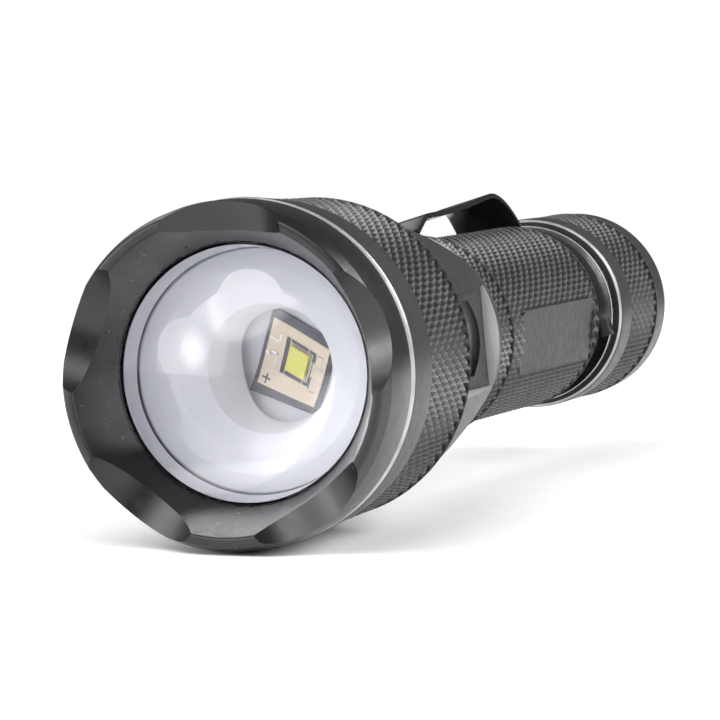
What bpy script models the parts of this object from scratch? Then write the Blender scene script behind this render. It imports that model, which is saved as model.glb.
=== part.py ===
"""A zooming tactical flashlight, built as separate pieces.

A station is a distance in millimetres behind the front lip, along the beam's axis. An outline is a list
of (station, radius) points. The beam points to -Y, +Z is up, and the origin is the middle of the light.
"""

import math

import bmesh
import bpy
from mathutils import Matrix

MM = 0.001

# Overall
LENGTH = 151.0
GAP = 0.3
TURN_STEPS = 40
SMALL_STEPS = 28

# Head
SCALLOP_COUNT = 5
SCALLOP_FIRST_DEG = 18.7
SCALLOP_RADIUS = 9.5
SCALLOP_DEPTH = 3.55
SCALLOP_TILT = 14.0
LENS_APEX = 1.2
LENS_FLANGE = 10.8
LENS_BACK = 12.9
LENS_RADIUS = 16.3
LENS_DOME_RADIUS = 15.4
LENS_CURVE = 12.5
LENS_CONIC = -2.2
CONE_START = 35.0
CONE_END = 67.6
CONE_START_RADIUS = 19.6
CONE_END_RADIUS = 13.75
CONE_BULGE = 0.35
WINDOW_COUNT = 5
WINDOW_FIRST_DEG = 5.5
WINDOW_START = 36.2
WINDOW_END = 64.4
WINDOW_HALF_WIDTH = 6.5
WINDOW_FLOOR = 12.5

# Neck, pill and light source
NECK_RADIUS = 11.2
CELL_BORE = 9.7
STOP_RING = 45.3
LED_TURN_DEG = -21.2
WIRE_HOLE_OFFSET = 6.9

# Battery tube and clip
TUBE_RADIUS = 12.65
PANEL_START = 82.5
PANEL_END = 116.0
PANEL_HALF_WIDTH = 4.2
PANEL_DEG = -4.9
PANEL_FLAT = 11.95
PANEL_CORNER = 1.5
CLIP_DEG = 108.0
CLIP_WRAP_DEG = 238.0
CLIP_WIDTH = 6.6
CLIP_SHEET = 0.7

# Tail
TAIL_RADIUS = 13.3


def clear_scene():
    for obj in list(bpy.data.objects):
        bpy.data.objects.remove(obj, do_unlink=True)


def new_collection(name, hidden=False):
    made = bpy.data.collections.new(name)
    bpy.context.scene.collection.children.link(made)
    made.hide_render = hidden
    return made


def material(name, color, roughness, metallic=0.0):
    made = bpy.data.materials.new(name)
    made.use_nodes = True
    shader = made.node_tree.nodes["Principled BSDF"]
    shader.inputs["Base Color"].default_value = (*color, 1.0)
    shader.inputs["Roughness"].default_value = roughness
    shader.inputs["Metallic"].default_value = metallic
    made.diffuse_color = (*color, 1.0)
    return made


clear_scene()
PARTS = new_collection("tactical_flashlight")
CUTTERS = new_collection("cutters", hidden=True)

ANODISED = material("anodised_aluminium", (0.08, 0.08, 0.085), 0.45, 0.9)
BARE_ALUMINIUM = material("bare_aluminium", (0.75, 0.75, 0.77), 0.3, 1.0)
BLACK_STEEL = material("black_steel", (0.02, 0.02, 0.02), 0.3, 0.8)
SPRING_STEEL = material("spring_steel", (0.6, 0.6, 0.58), 0.25, 1.0)
BRASS = material("brass", (0.72, 0.55, 0.28), 0.35, 1.0)
GLASS = material("clear_acrylic", (0.95, 0.96, 1.0), 0.02)
RUBBER = material("black_rubber", (0.02, 0.02, 0.02), 0.7)
WHITE_PLASTIC = material("white_plastic", (0.85, 0.85, 0.88), 0.4)
BLACK_PLASTIC = material("black_plastic", (0.03, 0.03, 0.03), 0.5)
BOARD = material("circuit_board", (0.05, 0.25, 0.12), 0.5)
CERAMIC = material("led_ceramic", (0.9, 0.75, 0.55), 0.5)
PHOSPHOR = material("phosphor", (0.95, 0.9, 0.3), 0.5)
CELL_WRAP = material("cell_wrap", (0.1, 0.25, 0.5), 0.4)
RED_WIRE = material("red_wire", (0.6, 0.03, 0.03), 0.5)


def empty(name, parent=None):
    """An empty on the beam's axis. The first one turns local +Z to the front of the light."""
    made = bpy.data.objects.new(name, None)
    PARTS.objects.link(made)
    if parent:
        made.parent = parent
    else:
        made.location = (0.0, -LENGTH / 2 * MM, 0.0)
        made.rotation_euler = (math.radians(90.0), 0.0, 0.0)
    return made


AXIS = empty("beam_axis")
HEAD = empty("head_axis", AXIS)
CLIP = empty("clip_axis", AXIS)
TAIL = empty("tail_axis", AXIS)
BUTTON = empty("button_axis", AXIS)


def add_object(name, mesh, parent, finish=None):
    """A piece, or a hidden cutter when it has no finish."""
    made = bpy.data.objects.new(name, mesh)
    if finish:
        PARTS.objects.link(made)
        mesh.materials.append(finish)
    else:
        CUTTERS.objects.link(made)
        made.hide_render = True
        made.display_type = "WIRE"
    made.parent = parent
    return made


def turned(name, outline, parent, finish, steps=TURN_STEPS, closed=True):
    """An outline turned about the beam's axis. An open outline starts and ends on the axis."""
    mesh = bpy.data.meshes.new(name)
    points = [(radius * MM, 0.0, -station * MM) for station, radius in outline]
    edges = [(i, i + 1) for i in range(len(points) - 1)]
    if closed:
        edges.append((len(points) - 1, 0))
    mesh.from_pydata(points, edges, [])
    made = add_object(name, mesh, parent, finish)
    screw = made.modifiers.new("turn", "SCREW")
    screw.axis = "Z"
    screw.steps = steps
    screw.render_steps = steps
    screw.use_merge_vertices = True
    screw.merge_threshold = 0.00001
    return made


def ring(name, start, end, inner, outer, parent, finish, edge=0.2, steps=TURN_STEPS):
    """A plain turned ring with its outer corners chamfered."""
    outline = [
        (start, outer - edge),
        (start + edge, outer),
        (end - edge, outer),
        (end, outer - edge),
        (end, inner),
        (start, inner),
    ]
    return turned(name, outline, parent, finish, steps)


def o_ring(name, station, radius, thickness, parent):
    """A rubber ring of round section, with its middle on the given radius."""
    sides = 8
    outline = []
    for i in range(sides):
        angle = -2 * math.pi * i / sides
        outline.append((station - math.sin(angle) * thickness / 2, radius + math.cos(angle) * thickness / 2))
    return turned(name, outline, parent, RUBBER, SMALL_STEPS)


def disc(name, start, end, radius, parent, finish, edge=0.2, steps=SMALL_STEPS):
    """A solid turned disc with chamfered corners."""
    outline = [
        (start, 0.0),
        (start, radius - edge),
        (start + edge, radius),
        (end - edge, radius),
        (end, radius - edge),
        (end, 0.0),
    ]
    return turned(name, outline, parent, finish, steps, closed=False)


def turn_about_axis(degrees):
    return Matrix.Rotation(math.radians(degrees), 4, "Z")


def box(name, start, end, across, height, parent, finish=None, degrees=0.0):
    """A block between two stations. across and height are (low, high) before it is turned by degrees."""
    mesh = bpy.data.meshes.new(name)
    shape = bmesh.new()
    sides = (across[1] - across[0], height[1] - height[0], end - start)
    middle = (sum(across) / 2, sum(height) / 2, -(start + end) / 2)
    place = turn_about_axis(degrees) @ Matrix.Translation([v * MM for v in middle])
    scale = Matrix.Diagonal((*[v * MM for v in sides], 1.0))
    bmesh.ops.create_cube(shape, size=1.0, matrix=place @ scale)
    shape.to_mesh(mesh)
    shape.free()
    return add_object(name, mesh, parent, finish)


def rod_mesh(name, radius, length, place, segments):
    mesh = bpy.data.meshes.new(name)
    shape = bmesh.new()
    bmesh.ops.create_cone(
        shape,
        cap_ends=True,
        segments=segments,
        radius1=radius * MM,
        radius2=radius * MM,
        depth=length * MM,
        matrix=place,
    )
    shape.to_mesh(mesh)
    shape.free()
    return mesh


def mesh_of_curve(curve_object):
    """Replaces a curve object by a closed mesh object of the same name."""
    graph = bpy.context.evaluated_depsgraph_get()
    graph.update()
    mesh = bpy.data.meshes.new_from_object(curve_object.evaluated_get(graph))
    shape = bmesh.new()
    shape.from_mesh(mesh)
    bmesh.ops.remove_doubles(shape, verts=shape.verts, dist=0.000005)
    bmesh.ops.recalc_face_normals(shape, faces=shape.faces)
    shape.to_mesh(mesh)
    shape.free()
    name, parent = curve_object.name, curve_object.parent
    local = curve_object.matrix_local.copy()
    bpy.data.objects.remove(curve_object, do_unlink=True)
    return name, mesh, parent, local


def extruded(name, outline, thickness, place, parent, finish=None):
    """A flat outline in millimetres, extruded both ways by half its thickness."""
    curve = bpy.data.curves.new(name, "CURVE")
    curve.dimensions = "2D"
    curve.fill_mode = "BOTH"
    curve.extrude = thickness / 2 * MM
    spline = curve.splines.new("POLY")
    spline.points.add(len(outline) - 1)
    for point, (x, y) in zip(spline.points, outline):
        point.co = (x * MM, y * MM, 0.0, 1.0)
    spline.use_cyclic_u = True
    drawn = bpy.data.objects.new(name, curve)
    CUTTERS.objects.link(drawn)
    drawn.parent = parent
    drawn.matrix_local = place
    bpy.context.view_layer.update()
    name, mesh, parent, local = mesh_of_curve(drawn)
    made = add_object(name, mesh, parent, finish)
    made.matrix_local = local
    return made


def boolean(target, other, operation="DIFFERENCE"):
    modifier = target.modifiers.new(f"{operation.lower()}_{other.name}", "BOOLEAN")
    modifier.operation = operation
    modifier.object = other


def wire(name, points, radius, parent, finish):
    """A wire of round section along points in millimetres, each (x, y, station)."""
    curve = bpy.data.curves.new(name, "CURVE")
    curve.dimensions = "3D"
    curve.bevel_depth = radius * MM
    curve.bevel_resolution = 1
    curve.use_fill_caps = True
    spline = curve.splines.new("POLY")
    spline.points.add(len(points) - 1)
    for point, (x, y, station) in zip(spline.points, points):
        point.co = (x * MM, y * MM, -station * MM, 1.0)
    curve.materials.append(finish)
    made = bpy.data.objects.new(name, curve)
    PARTS.objects.link(made)
    made.parent = parent
    return made


def coil(name, start, end, start_radius, end_radius, turns, radius, parent):
    """A conical spring between two stations."""
    per_turn = 10
    count = int(turns * per_turn)
    points = []
    for i in range(count + 1):
        share = i / count
        angle = 2 * math.pi * turns * share
        reach = start_radius + (end_radius - start_radius) * share
        points.append((reach * math.cos(angle), reach * math.sin(angle), start + (end - start) * share))
    return wire(name, points, radius, parent, SPRING_STEEL)


def lens_height(radius):
    """How far the aspheric front has fallen back from its apex at this radius."""
    curve = 1 / LENS_CURVE
    root = math.sqrt(1 - (1 + LENS_CONIC) * curve * curve * radius * radius)
    return curve * radius * radius / (1 + root)


def cone_radius(station):
    """The slightly rounded cone between the head's grip and its rear rim."""
    share = (station - CONE_START) / (CONE_END - CONE_START)
    straight = CONE_START_RADIUS + (CONE_END_RADIUS - CONE_START_RADIUS) * share
    return straight + CONE_BULGE * 4 * share * (1 - share)


def make_bezel():
    outline = [
        (0.0, 19.8),
        (0.25, 20.05),
        (2.0, 20.6),
        (4.5, 20.85),
        (8.4, 20.85),
        (8.7, 20.5),
        (8.7, 18.6),
        (15.2, 18.6),
        (15.2, 16.6),
        (9.2, 16.6),
        (9.2, 15.7),
        (8.0, 15.7),
        (7.6, 15.85),
        (0.25, 18.75),
        (0.0, 18.95),
    ]
    bezel = turned("bezel_ring", outline, HEAD, ANODISED)
    for i in range(SCALLOP_COUNT):
        angle = SCALLOP_FIRST_DEG + i * 360 / SCALLOP_COUNT
        middle = Matrix.Translation((18.0 * MM, 0.0, (SCALLOP_RADIUS - SCALLOP_DEPTH) * MM))
        place = turn_about_axis(angle) @ middle @ Matrix.Rotation(math.radians(90.0 - SCALLOP_TILT), 4, "Y")
        name = f"scallop_cutter_{i + 1}"
        boolean(bezel, add_object(name, rod_mesh(name, SCALLOP_RADIUS, 16.0, place, 48), HEAD))


def make_lens():
    steps = 8
    outline = []
    for i in range(steps + 1):
        radius = LENS_DOME_RADIUS * math.sin(math.pi / 2 * i / steps)
        outline.append((LENS_APEX + lens_height(radius), radius))
    outline += [(LENS_FLANGE, LENS_DOME_RADIUS), (LENS_FLANGE, LENS_RADIUS), (LENS_BACK, LENS_RADIUS), (LENS_BACK, 0.0)]
    turned("lens", outline, HEAD, GLASS, closed=False)
    o_ring("front_o_ring", 10.0, 16.0, 0.9, HEAD)
    outline = [
        (LENS_BACK + GAP, LENS_RADIUS),
        (15.4, LENS_RADIUS),
        (15.4, 12.9),
        (14.9, 12.9),
        (14.9, 15.2),
        (LENS_BACK + GAP, 15.2),
    ]
    turned("lens_seat_ring", outline, HEAD, WHITE_PLASTIC)


def make_head_sleeve():
    cone_steps = 5
    outline = [(9.3, 20.5), (9.75, 20.94), (17.5, 20.45), (34.75, 19.95)]
    for i in range(cone_steps + 1):
        station = CONE_START + (CONE_END - CONE_START) * i / cone_steps
        outline.append((station, cone_radius(station)))
    outline += [
        (68.0, 13.6),
        (74.3, 13.45),
        (74.7, 13.05),
        (74.7, 11.5),
        (72.6, 11.5),
        (72.6, 12.5),
        (70.6, 12.5),
        (70.6, 11.5),
        (66.2, 11.5),
        (62.3, 12.5),
        (58.5, 13.4),
        (35.0, 13.4),
        (35.0, 15.0),
        (15.7, 15.0),
        (15.7, 18.9),
        (9.3, 18.9),
    ]
    sleeve = turned("head_sleeve", outline, HEAD, ANODISED)
    for i in range(WINDOW_COUNT):
        angle = WINDOW_FIRST_DEG + i * 360 / WINDOW_COUNT
        across = (WINDOW_FLOOR, WINDOW_FLOOR + 12.0)
        height = (-WINDOW_HALF_WIDTH, WINDOW_HALF_WIDTH)
        name = f"window_cutter_{i + 1}"
        boolean(sleeve, box(name, WINDOW_START, WINDOW_END, across, height, HEAD, degrees=angle))
    o_ring("slide_o_ring", 71.6, 11.85, 0.9, HEAD)


def make_neck():
    outline = [
        (26.0, 10.9),
        (26.3, NECK_RADIUS),
        (STOP_RING - GAP, NECK_RADIUS),
        (STOP_RING - GAP, 10.8),
        (STOP_RING + 2.2 + GAP, 10.8),
        (STOP_RING + 2.2 + GAP, NECK_RADIUS),
        (76.2, NECK_RADIUS),
        (76.2, 10.7),
        (86.2, 10.7),
        (86.2, CELL_BORE),
        (26.0, CELL_BORE),
    ]
    turned("neck_tube", outline, AXIS, BARE_ALUMINIUM)
    stop = ring("neck_stop_ring", STOP_RING, STOP_RING + 2.2, 11.1, 13.1, AXIS, SPRING_STEEL)
    boolean(stop, box("stop_ring_gap", STOP_RING - 1, STOP_RING + 4, (-2.0, 2.0), (-15.0, -9.0), AXIS))


def make_pill():
    outline = [
        (22.3, 0.0),
        (22.3, 12.7),
        (22.6, 13.0),
        (25.4, 13.0),
        (25.7, 12.7),
        (25.7, 9.4),
        (50.2, 9.4),
        (50.2, 8.8),
        (46.8, 8.8),
        (46.8, 8.0),
        (28.0, 8.0),
        (28.0, 0.0),
    ]
    pill = turned("pill", outline, AXIS, BRASS, closed=False)
    for side in (-1, 1):
        place = Matrix.Translation((side * WIRE_HOLE_OFFSET * MM, 0.0, -24.0 * MM))
        name = "wire_hole_left" if side < 0 else "wire_hole_right"
        boolean(pill, add_object(name, rod_mesh(name, 0.9, 12.0, place, 16), AXIS))


def make_light_source():
    board = disc("led_board", 20.7, 22.0, 9.9, AXIS, BARE_ALUMINIUM, edge=0.1)
    for side in (-1, 1):
        across = (5.9, 12.0) if side > 0 else (-12.0, -5.9)
        name = "board_slot_left" if side < 0 else "board_slot_right"
        boolean(board, box(name, 19.0, 23.0, across, (-1.1, 1.1), AXIS))
    box("led_package", 19.8, 20.5, (-3.15, 3.15), (-3.15, 3.15), AXIS, CERAMIC, LED_TURN_DEG)
    box("led_die", 19.45, 19.65, (-1.0, 1.0), (-1.0, 1.0), AXIS, PHOSPHOR, LED_TURN_DEG)
    outline = [
        (15.9, 12.3),
        (16.2, 12.6),
        (21.9, 12.6),
        (21.9, 11.9),
        (17.0, 11.9),
        (17.0, 6.8),
        (19.65, 4.9),
        (19.65, 4.35),
        (19.45, 4.35),
        (17.4, 5.4),
        (16.4, 7.5),
        (15.9, 10.0),
    ]
    turned("led_spacer", outline, AXIS, WHITE_PLASTIC, SMALL_STEPS)


def make_driver():
    disc("driver_board", 47.1, 48.5, 8.5, AXIS, BOARD)
    box("driver_inductor", 43.6, 46.8, (-2.5, 2.5), (-2.5, 2.5), AXIS, BLACK_PLASTIC)
    coil("driver_spring", 49.2, 56.9, 3.6, 2.4, 5, 0.35, AXIS)
    for side, name, finish in ((-1, "lead_wire_black", BLACK_PLASTIC), (1, "lead_wire_red", RED_WIRE)):
        reach = side * WIRE_HOLE_OFFSET
        points = [
            (side * 6.0, 0.0, 46.6),
            (reach, 0.0, 42.0),
            (reach, 0.0, 22.1),
            (reach, 0.0, 20.6),
            (reach, 0.4, 20.05),
            (reach, 1.2, 19.85),
            (reach, 2.6, 20.1),
        ]
        wire(name, points, 0.4, AXIS, finish)


def make_battery():
    disc("battery_cell", 58.4, 123.6, 9.2, AXIS, CELL_WRAP, edge=0.5)
    disc("battery_terminal", 57.5, 58.2, 3.0, AXIS, SPRING_STEEL)


def rounded_rectangle(half_width, half_height, corner, arc_steps=4):
    """Corner points of a rounded rectangle about the origin, anticlockwise."""
    points = []
    for quarter in range(4):
        sign_x = 1 if quarter in (0, 3) else -1
        sign_y = 1 if quarter in (0, 1) else -1
        for i in range(arc_steps + 1):
            angle = math.pi / 2 * (quarter + i / arc_steps)
            x = sign_x * (half_width - corner) + corner * math.cos(angle)
            y = sign_y * (half_height - corner) + corner * math.sin(angle)
            points.append((x, y))
    return points


def make_body_tube():
    outline = [
        (76.5, 12.2),
        (76.95, TUBE_RADIUS),
        (117.4, TUBE_RADIUS),
        (117.8, 12.25),
        (117.8, 11.2),
        (124.9, 11.2),
        (124.9, 12.1),
        (125.2, 12.4),
        (126.3, 12.4),
        (126.3, 11.4),
        (127.4, 11.4),
        (127.4, 10.5),
        (129.4, 10.5),
        (129.4, 11.4),
        (133.2, 11.4),
        (133.6, 11.0),
        (133.6, CELL_BORE),
        (86.8, CELL_BORE),
        (86.8, 11.0),
        (76.5, 11.0),
    ]
    tube = turned("body_tube", outline, AXIS, ANODISED)
    half_length = (PANEL_END - PANEL_START) / 2
    panel = rounded_rectangle(half_length, PANEL_HALF_WIDTH, PANEL_CORNER)
    depth = 3.0
    stand = Matrix.Translation(((PANEL_FLAT + depth / 2) * MM, 0.0, -(PANEL_START + half_length) * MM))
    lay = Matrix.Rotation(math.radians(90.0), 4, "Y")
    cutter = extruded("panel_cutter", panel, depth, turn_about_axis(PANEL_DEG) @ stand @ lay, AXIS)
    boolean(tube, cutter)
    o_ring("tail_o_ring", 128.4, 11.3, 1.2, AXIS)


def strip_outline(centre_line, thickness):
    """The closed outline of a bent strip, from the points along its middle."""
    upper, lower = [], []
    last = len(centre_line) - 1
    for i, (x, y) in enumerate(centre_line):
        before = centre_line[max(i - 1, 0)]
        after = centre_line[min(i + 1, last)]
        along = (after[0] - before[0], after[1] - before[1])
        size = math.hypot(*along)
        across = (-along[1] / size * thickness / 2, along[0] / size * thickness / 2)
        upper.append((x + across[0], y + across[1]))
        lower.append((x - across[0], y - across[1]))
    return upper + lower[::-1]


def make_clip():
    band = ring("pocket_clip", 118.9, 124.5, 11.5, 12.3, CLIP, BLACK_STEEL, edge=0.15)
    half_gap = math.radians(360.0 - CLIP_WRAP_DEG) / 2
    reach = 40.0
    wedge = [(0.0, 0.0), (reach, -reach * math.tan(half_gap)), (reach, reach * math.tan(half_gap))]
    place = turn_about_axis(CLIP_DEG + 180.0) @ Matrix.Translation((0.0, 0.0, -121.7 * MM))
    boolean(band, extruded("clip_gap", wedge, 12.0, place, CLIP))
    centre_line = [
        (-123.6, 12.0),
        (-123.0, 12.6),
        (-121.7, 14.0),
        (-119.8, 15.4),
        (-117.6, 16.35),
        (-115.4, 16.8),
        (-113.0, 16.8),
        (-107.2, 16.35),
        (-101.9, 15.95),
        (-97.2, 15.68),
        (-91.8, 15.45),
        (-83.6, 15.2),
        (-78.2, 13.2),
    ]
    upright = Matrix(((0, 1, 0, 0), (0, 0, 1, 0), (1, 0, 0, 0), (0, 0, 0, 1)))
    place = turn_about_axis(CLIP_DEG) @ upright
    arm = extruded("clip_arm", strip_outline(centre_line, CLIP_SHEET), CLIP_WIDTH, place, CLIP)
    boolean(band, arm, "UNION")
    boolean(band, box("clip_window", 84.5, 89.3, (13.5, 17.0), (-2.2, 2.2), CLIP, degrees=CLIP_DEG))


def make_tail_cap():
    outline = [
        (126.7, 12.9),
        (127.2, TAIL_RADIUS),
        (131.8, TAIL_RADIUS),
        (145.5, TAIL_RADIUS),
        (146.3, 13.1),
        (150.3, 13.1),
        (LENGTH, 12.4),
        (LENGTH, 8.6),
        (150.6, 8.2),
        (148.6, 8.2),
        (148.6, 11.2),
        (134.1, 11.2),
        (134.1, 11.7),
        (129.9, 11.7),
        (129.9, 12.2),
        (126.7, 12.2),
    ]
    turned("tail_cap", outline, TAIL, ANODISED)
    keeper = ring("tail_retaining_ring", 134.4, 136.1, 7.6, 10.9, TAIL, BARE_ALUMINIUM)
    boolean(keeper, box("spanner_slot", 133.0, 135.2, (-12.0, 12.0), (-0.8, 0.8), TAIL))
    coil("tail_spring", 135.8, 124.4, 6.4, 4.2, 5, 0.5, TAIL)


def make_switch():
    disc("switch_plate", 136.4, 137.6, 10.8, TAIL, BOARD)
    ring("switch_housing", 137.9, 146.7, 6.9, 10.8, TAIL, BLACK_PLASTIC, steps=SMALL_STEPS)
    case = box("switch_case", 137.9, 145.4, (-4.3, 4.3), (-4.3, 4.3), TAIL, WHITE_PLASTIC)
    place = Matrix.Translation((0.0, 0.0, -145.0 * MM))
    boolean(case, add_object("plunger_hole", rod_mesh("plunger_hole", 2.4, 5.2, place, 24), TAIL))
    disc("switch_plunger", 144.4, 149.2, 2.0, BUTTON, BLACK_PLASTIC)
    outline = [
        (149.5, 0.0),
        (149.3, 5.0),
        (148.7, 6.6),
        (147.0, 6.8),
        (147.0, 10.7),
        (148.3, 10.7),
        (148.3, 7.8),
        (149.4, 7.8),
        (150.2, 6.8),
        (150.6, 4.0),
        (150.7, 0.0),
    ]
    turned("switch_boot", outline, BUTTON, RUBBER, SMALL_STEPS, closed=False)


make_bezel()
make_lens()
make_head_sleeve()
make_neck()
make_pill()
make_light_source()
make_driver()
make_battery()
make_body_tube()
make_clip()
make_tail_cap()
make_switch()
for piece in PARTS.objects:
    if piece.type == "MESH":
        piece.data.shade_smooth()
        piece.data.set_sharp_from_angle(angle=math.radians(30.0))
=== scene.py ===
"""The looks of a zooming tactical flashlight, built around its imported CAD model.

A station is a distance in millimetres behind the front lip, along the beam's axis. An outline is a list of
(station, radius) points. A closed one runs down the outside from front to back and home along the inside.
Angles are in degrees round the axis, from +X towards +Z.
"""

import math

import bmesh
import bpy
import numpy as np
from mathutils import Matrix, Vector


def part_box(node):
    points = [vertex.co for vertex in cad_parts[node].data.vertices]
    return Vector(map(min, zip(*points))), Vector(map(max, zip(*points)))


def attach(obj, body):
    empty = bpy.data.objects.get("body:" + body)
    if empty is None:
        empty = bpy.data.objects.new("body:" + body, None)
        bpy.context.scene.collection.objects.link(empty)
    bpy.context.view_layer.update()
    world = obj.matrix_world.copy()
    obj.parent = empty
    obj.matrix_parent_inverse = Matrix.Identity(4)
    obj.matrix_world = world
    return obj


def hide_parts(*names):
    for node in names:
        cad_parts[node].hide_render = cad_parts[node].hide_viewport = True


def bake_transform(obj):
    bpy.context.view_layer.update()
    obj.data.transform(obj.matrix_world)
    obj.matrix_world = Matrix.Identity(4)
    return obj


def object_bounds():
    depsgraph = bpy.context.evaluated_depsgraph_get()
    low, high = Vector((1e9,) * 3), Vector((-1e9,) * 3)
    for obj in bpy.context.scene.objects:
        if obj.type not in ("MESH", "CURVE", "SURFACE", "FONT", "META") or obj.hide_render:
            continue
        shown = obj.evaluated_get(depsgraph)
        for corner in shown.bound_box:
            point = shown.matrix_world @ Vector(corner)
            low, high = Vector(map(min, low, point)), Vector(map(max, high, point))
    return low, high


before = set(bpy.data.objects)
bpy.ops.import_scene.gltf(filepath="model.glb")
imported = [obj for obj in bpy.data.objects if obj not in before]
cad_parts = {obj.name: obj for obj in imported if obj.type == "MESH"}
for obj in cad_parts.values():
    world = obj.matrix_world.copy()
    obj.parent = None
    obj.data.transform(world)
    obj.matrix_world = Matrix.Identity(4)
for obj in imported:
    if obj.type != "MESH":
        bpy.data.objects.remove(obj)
CAD_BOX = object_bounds()

MM = 0.001
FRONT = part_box("bezel_ring")[0].y

# Head
SCALLOP_COUNT = 5
SCALLOP_FIRST = 18.7
SCALLOP_RADIUS = 9.5
SCALLOP_DEPTH = 3.55
SCALLOP_TILT = 14.0
SCALLOP_MIDDLE = 18.0
SCALLOP_LENGTH = 18.0
BEZEL_LIP = (7.3, 9.3)
SLEEVE_CHAMFER = (9.2, 9.7)
WINDOW_COUNT = 5
WINDOW_FIRST = 5.5
WINDOW_SPAN = (36.2, 64.4)
WINDOW_HALF_WIDTH = 6.5
WINDOW_FLOOR = 12.5
WINDOW_HEIGHT = 12.0
SLEEVE_BORE = 11.5
CONE_SPAN = (35.0, 67.6)
CONE_RADII = (19.6, 13.75)
CONE_BULGE = 0.35
LENS_CURVE = 12.5
LENS_CONIC = -2.2
LENS_DOME = 15.4
LENS_APEX = 1.2
LENS_STEP = 0.02

# Knurling: diamonds round the part, a diamond's length along the axis, and depth
HEAD_KNURL = (75, 2.85, 0.62)
RIM_KNURL = (52, 2.2, 0.58)
TUBE_KNURL = (50, 2.6, 0.5)
TAIL_KNURL = (52, 2.6, 0.5)
KNURL_EDGE = 0.06
KNURL_CROWN = 1.85

# Light source
LED_DEG = -21.2
LED_SIDE = 6.3
DIE_SIDE = 1.95

# Tube, clip and tail
TUBE_BORE = 9.7
THREAD = 11.4
PANEL_SPAN = (82.5, 116.0)
PANEL_DEG = -4.9
PANEL_FLAT = 11.95
PANEL_HALF_WIDTH = 4.2
PANEL_CORNER = 1.5
COLLAR_EDGE = (124.92, 125.05)
CLIP_DEG = 108.0
CLIP_WRAP = 238.0
CLIP_SHEET = 0.7
CLIP_HALF_WIDTH = 3.3
CLIP_BAND_SPAN = (118.9, 124.5)
CLIP_BAND_RADII = (11.5, 12.3)
CLIP_WINDOW_MIDDLE = 86.8
CLIP_WINDOW_HALF_LENGTH = 2.4
CLIP_WINDOW_HALF_WIDTH = 2.2
CLIP_WINDOW_CORNER = 0.5
TAIL_EDGE = (145.6, 146.3)
BOOT_NECK = 7.8

# Camera: where the middle of the front lip is seen from
CAMERA_FROM_LIP = (202.73, -548.42, 45.13)
CAMERA_TURN = 18.68
CAMERA_DROP = 4.20
CAMERA_LENS = 250.0

# Studio
ROOM_BRIGHTNESS = 0.12
FLOOR_RADIUS = 420.0
FLOOR_THICKNESS = 1.0


# ---------------------------------------------------------------- shapes


def at(station, radius, degrees):
    """The point in the row frame at a station, a radius and an angle."""
    angle = math.radians(degrees)
    return Vector((radius * MM * math.cos(angle), FRONT + station * MM, radius * MM * math.sin(angle)))


def span(node):
    """(first station, last station, outer radius) of a CAD node that is centred on the axis."""
    low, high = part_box(node)
    return (low.y - FRONT) / MM, (high.y - FRONT) / MM, high.x / MM


def fillet(outline, radius, closed=True, steps=3):
    """The outline with every corner rounded by up to this radius."""
    rounded = []
    count = len(outline)
    for i, corner in enumerate(outline):
        if not closed and i in (0, count - 1):
            rounded.append(corner)
            continue
        here = Vector(corner)
        back = Vector(outline[i - 1]) - here
        ahead = Vector(outline[(i + 1) % count]) - here
        turn = back.angle(ahead)
        if turn > math.radians(172.0):
            rounded.append(corner)
            continue
        reach = min(radius / math.tan(turn / 2), 0.42 * back.length, 0.42 * ahead.length)
        start = here + back.normalized() * reach
        end = here + ahead.normalized() * reach
        for step in range(steps + 1):
            share = step / steps
            near = start.lerp(here, share)
            rounded.append(tuple(near.lerp(here.lerp(end, share), share)))
    return rounded


def mesh_object(name, points, faces, sharp=30.0):
    """An object from points and faces, smooth except where it turns by more than this angle."""
    mesh = bpy.data.meshes.new(name)
    mesh.from_pydata(points, [], faces)
    shape = bmesh.new()
    shape.from_mesh(mesh)
    bmesh.ops.recalc_face_normals(shape, faces=shape.faces)
    shape.to_mesh(mesh)
    shape.free()
    mesh.shade_smooth()
    mesh.set_sharp_from_angle(angle=math.radians(sharp))
    made = bpy.data.objects.new(name, mesh)
    bpy.context.scene.collection.objects.link(made)
    return made


def turned(name, outline, columns=128, closed=True, knurl=None, sharp=30.0):
    """An outline turned about the axis, with the bands of a knurl cut into it."""
    points = []
    rows = []
    for station, radius in outline:
        if radius < 1e-6:
            rows.append([len(points)] * columns)
            points.append(at(station, 0.0, 0.0))
            continue
        rows.append(list(range(len(points), len(points) + columns)))
        for column in range(columns):
            depth = knurl.depth_at(station, radius, column) if knurl else 0.0
            points.append(at(station, radius - depth, 360.0 * column / columns))
    faces = []
    pairs = list(zip(rows, rows[1:] + rows[:1])) if closed else list(zip(rows, rows[1:]))
    for row, (upper, lower) in enumerate(pairs):
        phase = knurl.row_of(outline[row][0], outline[row][1]) if knurl else None
        for column in range(columns):
            after = (column + 1) % columns
            corners = [upper[column], upper[after], lower[after], lower[column]]
            if phase is None:
                faces.append(list(dict.fromkeys(corners)))
            else:
                faces += groove_split(corners, column, phase)
    return mesh_object(name, points, faces, sharp)


def groove_split(corners, column, row):
    """A quad of a knurled band. Where a groove runs through it, it is folded along the groove."""
    a, b, c, d = corners
    if (column - row) % 4 == 0:
        return [[a, b, c], [a, c, d]]
    if (column + row + 1) % 4 == 0:
        return [[a, b, d], [b, c, d]]
    return [corners]


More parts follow.
